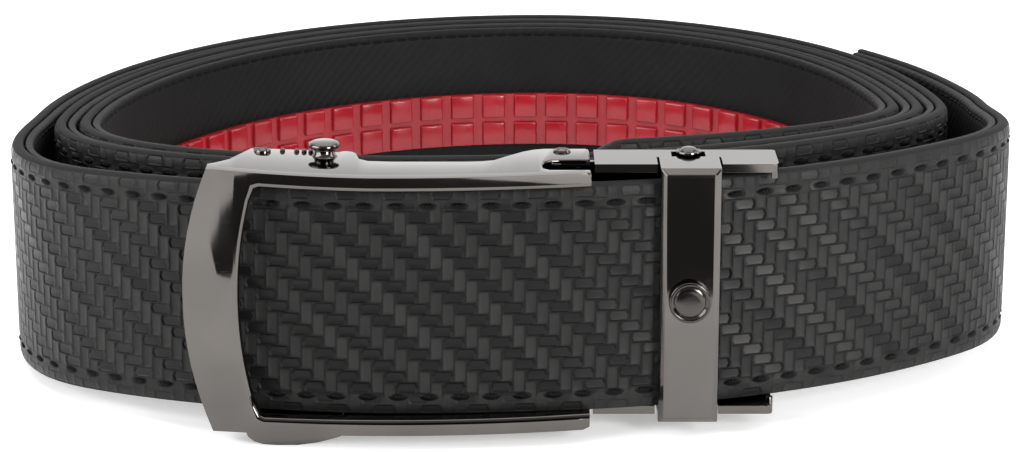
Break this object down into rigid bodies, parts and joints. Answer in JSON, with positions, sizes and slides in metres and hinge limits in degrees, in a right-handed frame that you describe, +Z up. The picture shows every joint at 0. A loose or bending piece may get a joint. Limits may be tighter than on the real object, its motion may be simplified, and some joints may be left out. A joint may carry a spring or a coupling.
{
  "type": "ratchet belt",
  "caption": "Coiled leather belt with a woven embossing, a bowed C-shaped ratchet buckle, a strap clamp with keeper bar, and a toothed red track inside.",
  "frame": {"origin": "middle of the bounding box, on the surface the belt stands on", "axes": "+X to the right along the buckle's face, -Y out of the buckle's face, +Z up"},
  "size_m": [0.1594, 0.1448, 0.0441],
  "materials": {
    "leather": "semi-gloss black leather embossed with a twill weave, grey painted edges",
    "lining": "matt black lining leather with a fine grain",
    "track": "glossy red plastic",
    "gunmetal": "polished dark gunmetal plating"
  },
  "bodies": {
    "belt": {"strap_leather": "leather", "strap_lining": "lining", "ratchet_track": "track", "buckle_frame": "gunmetal", "pivot_pin": "gunmetal", "stop_pin": "gunmetal", "hinge_pin": "gunmetal", "strap_clamp": "gunmetal", "keeper": "gunmetal", "medallion": "gunmetal", "clamp_screw": "gunmetal"},
    "lever": {"release_lever": "gunmetal"}
  },
  "joints": [
    {"name": "lever_pivot", "type": "hinge", "parent": "belt", "child": "lever", "pos_m": [-0.02783, -0.05978, 0.02], "axis": [0, 0, -1], "range_deg": [0, 4.5], "stiffness_Nm_per_rad": 0.03}
  ]
}
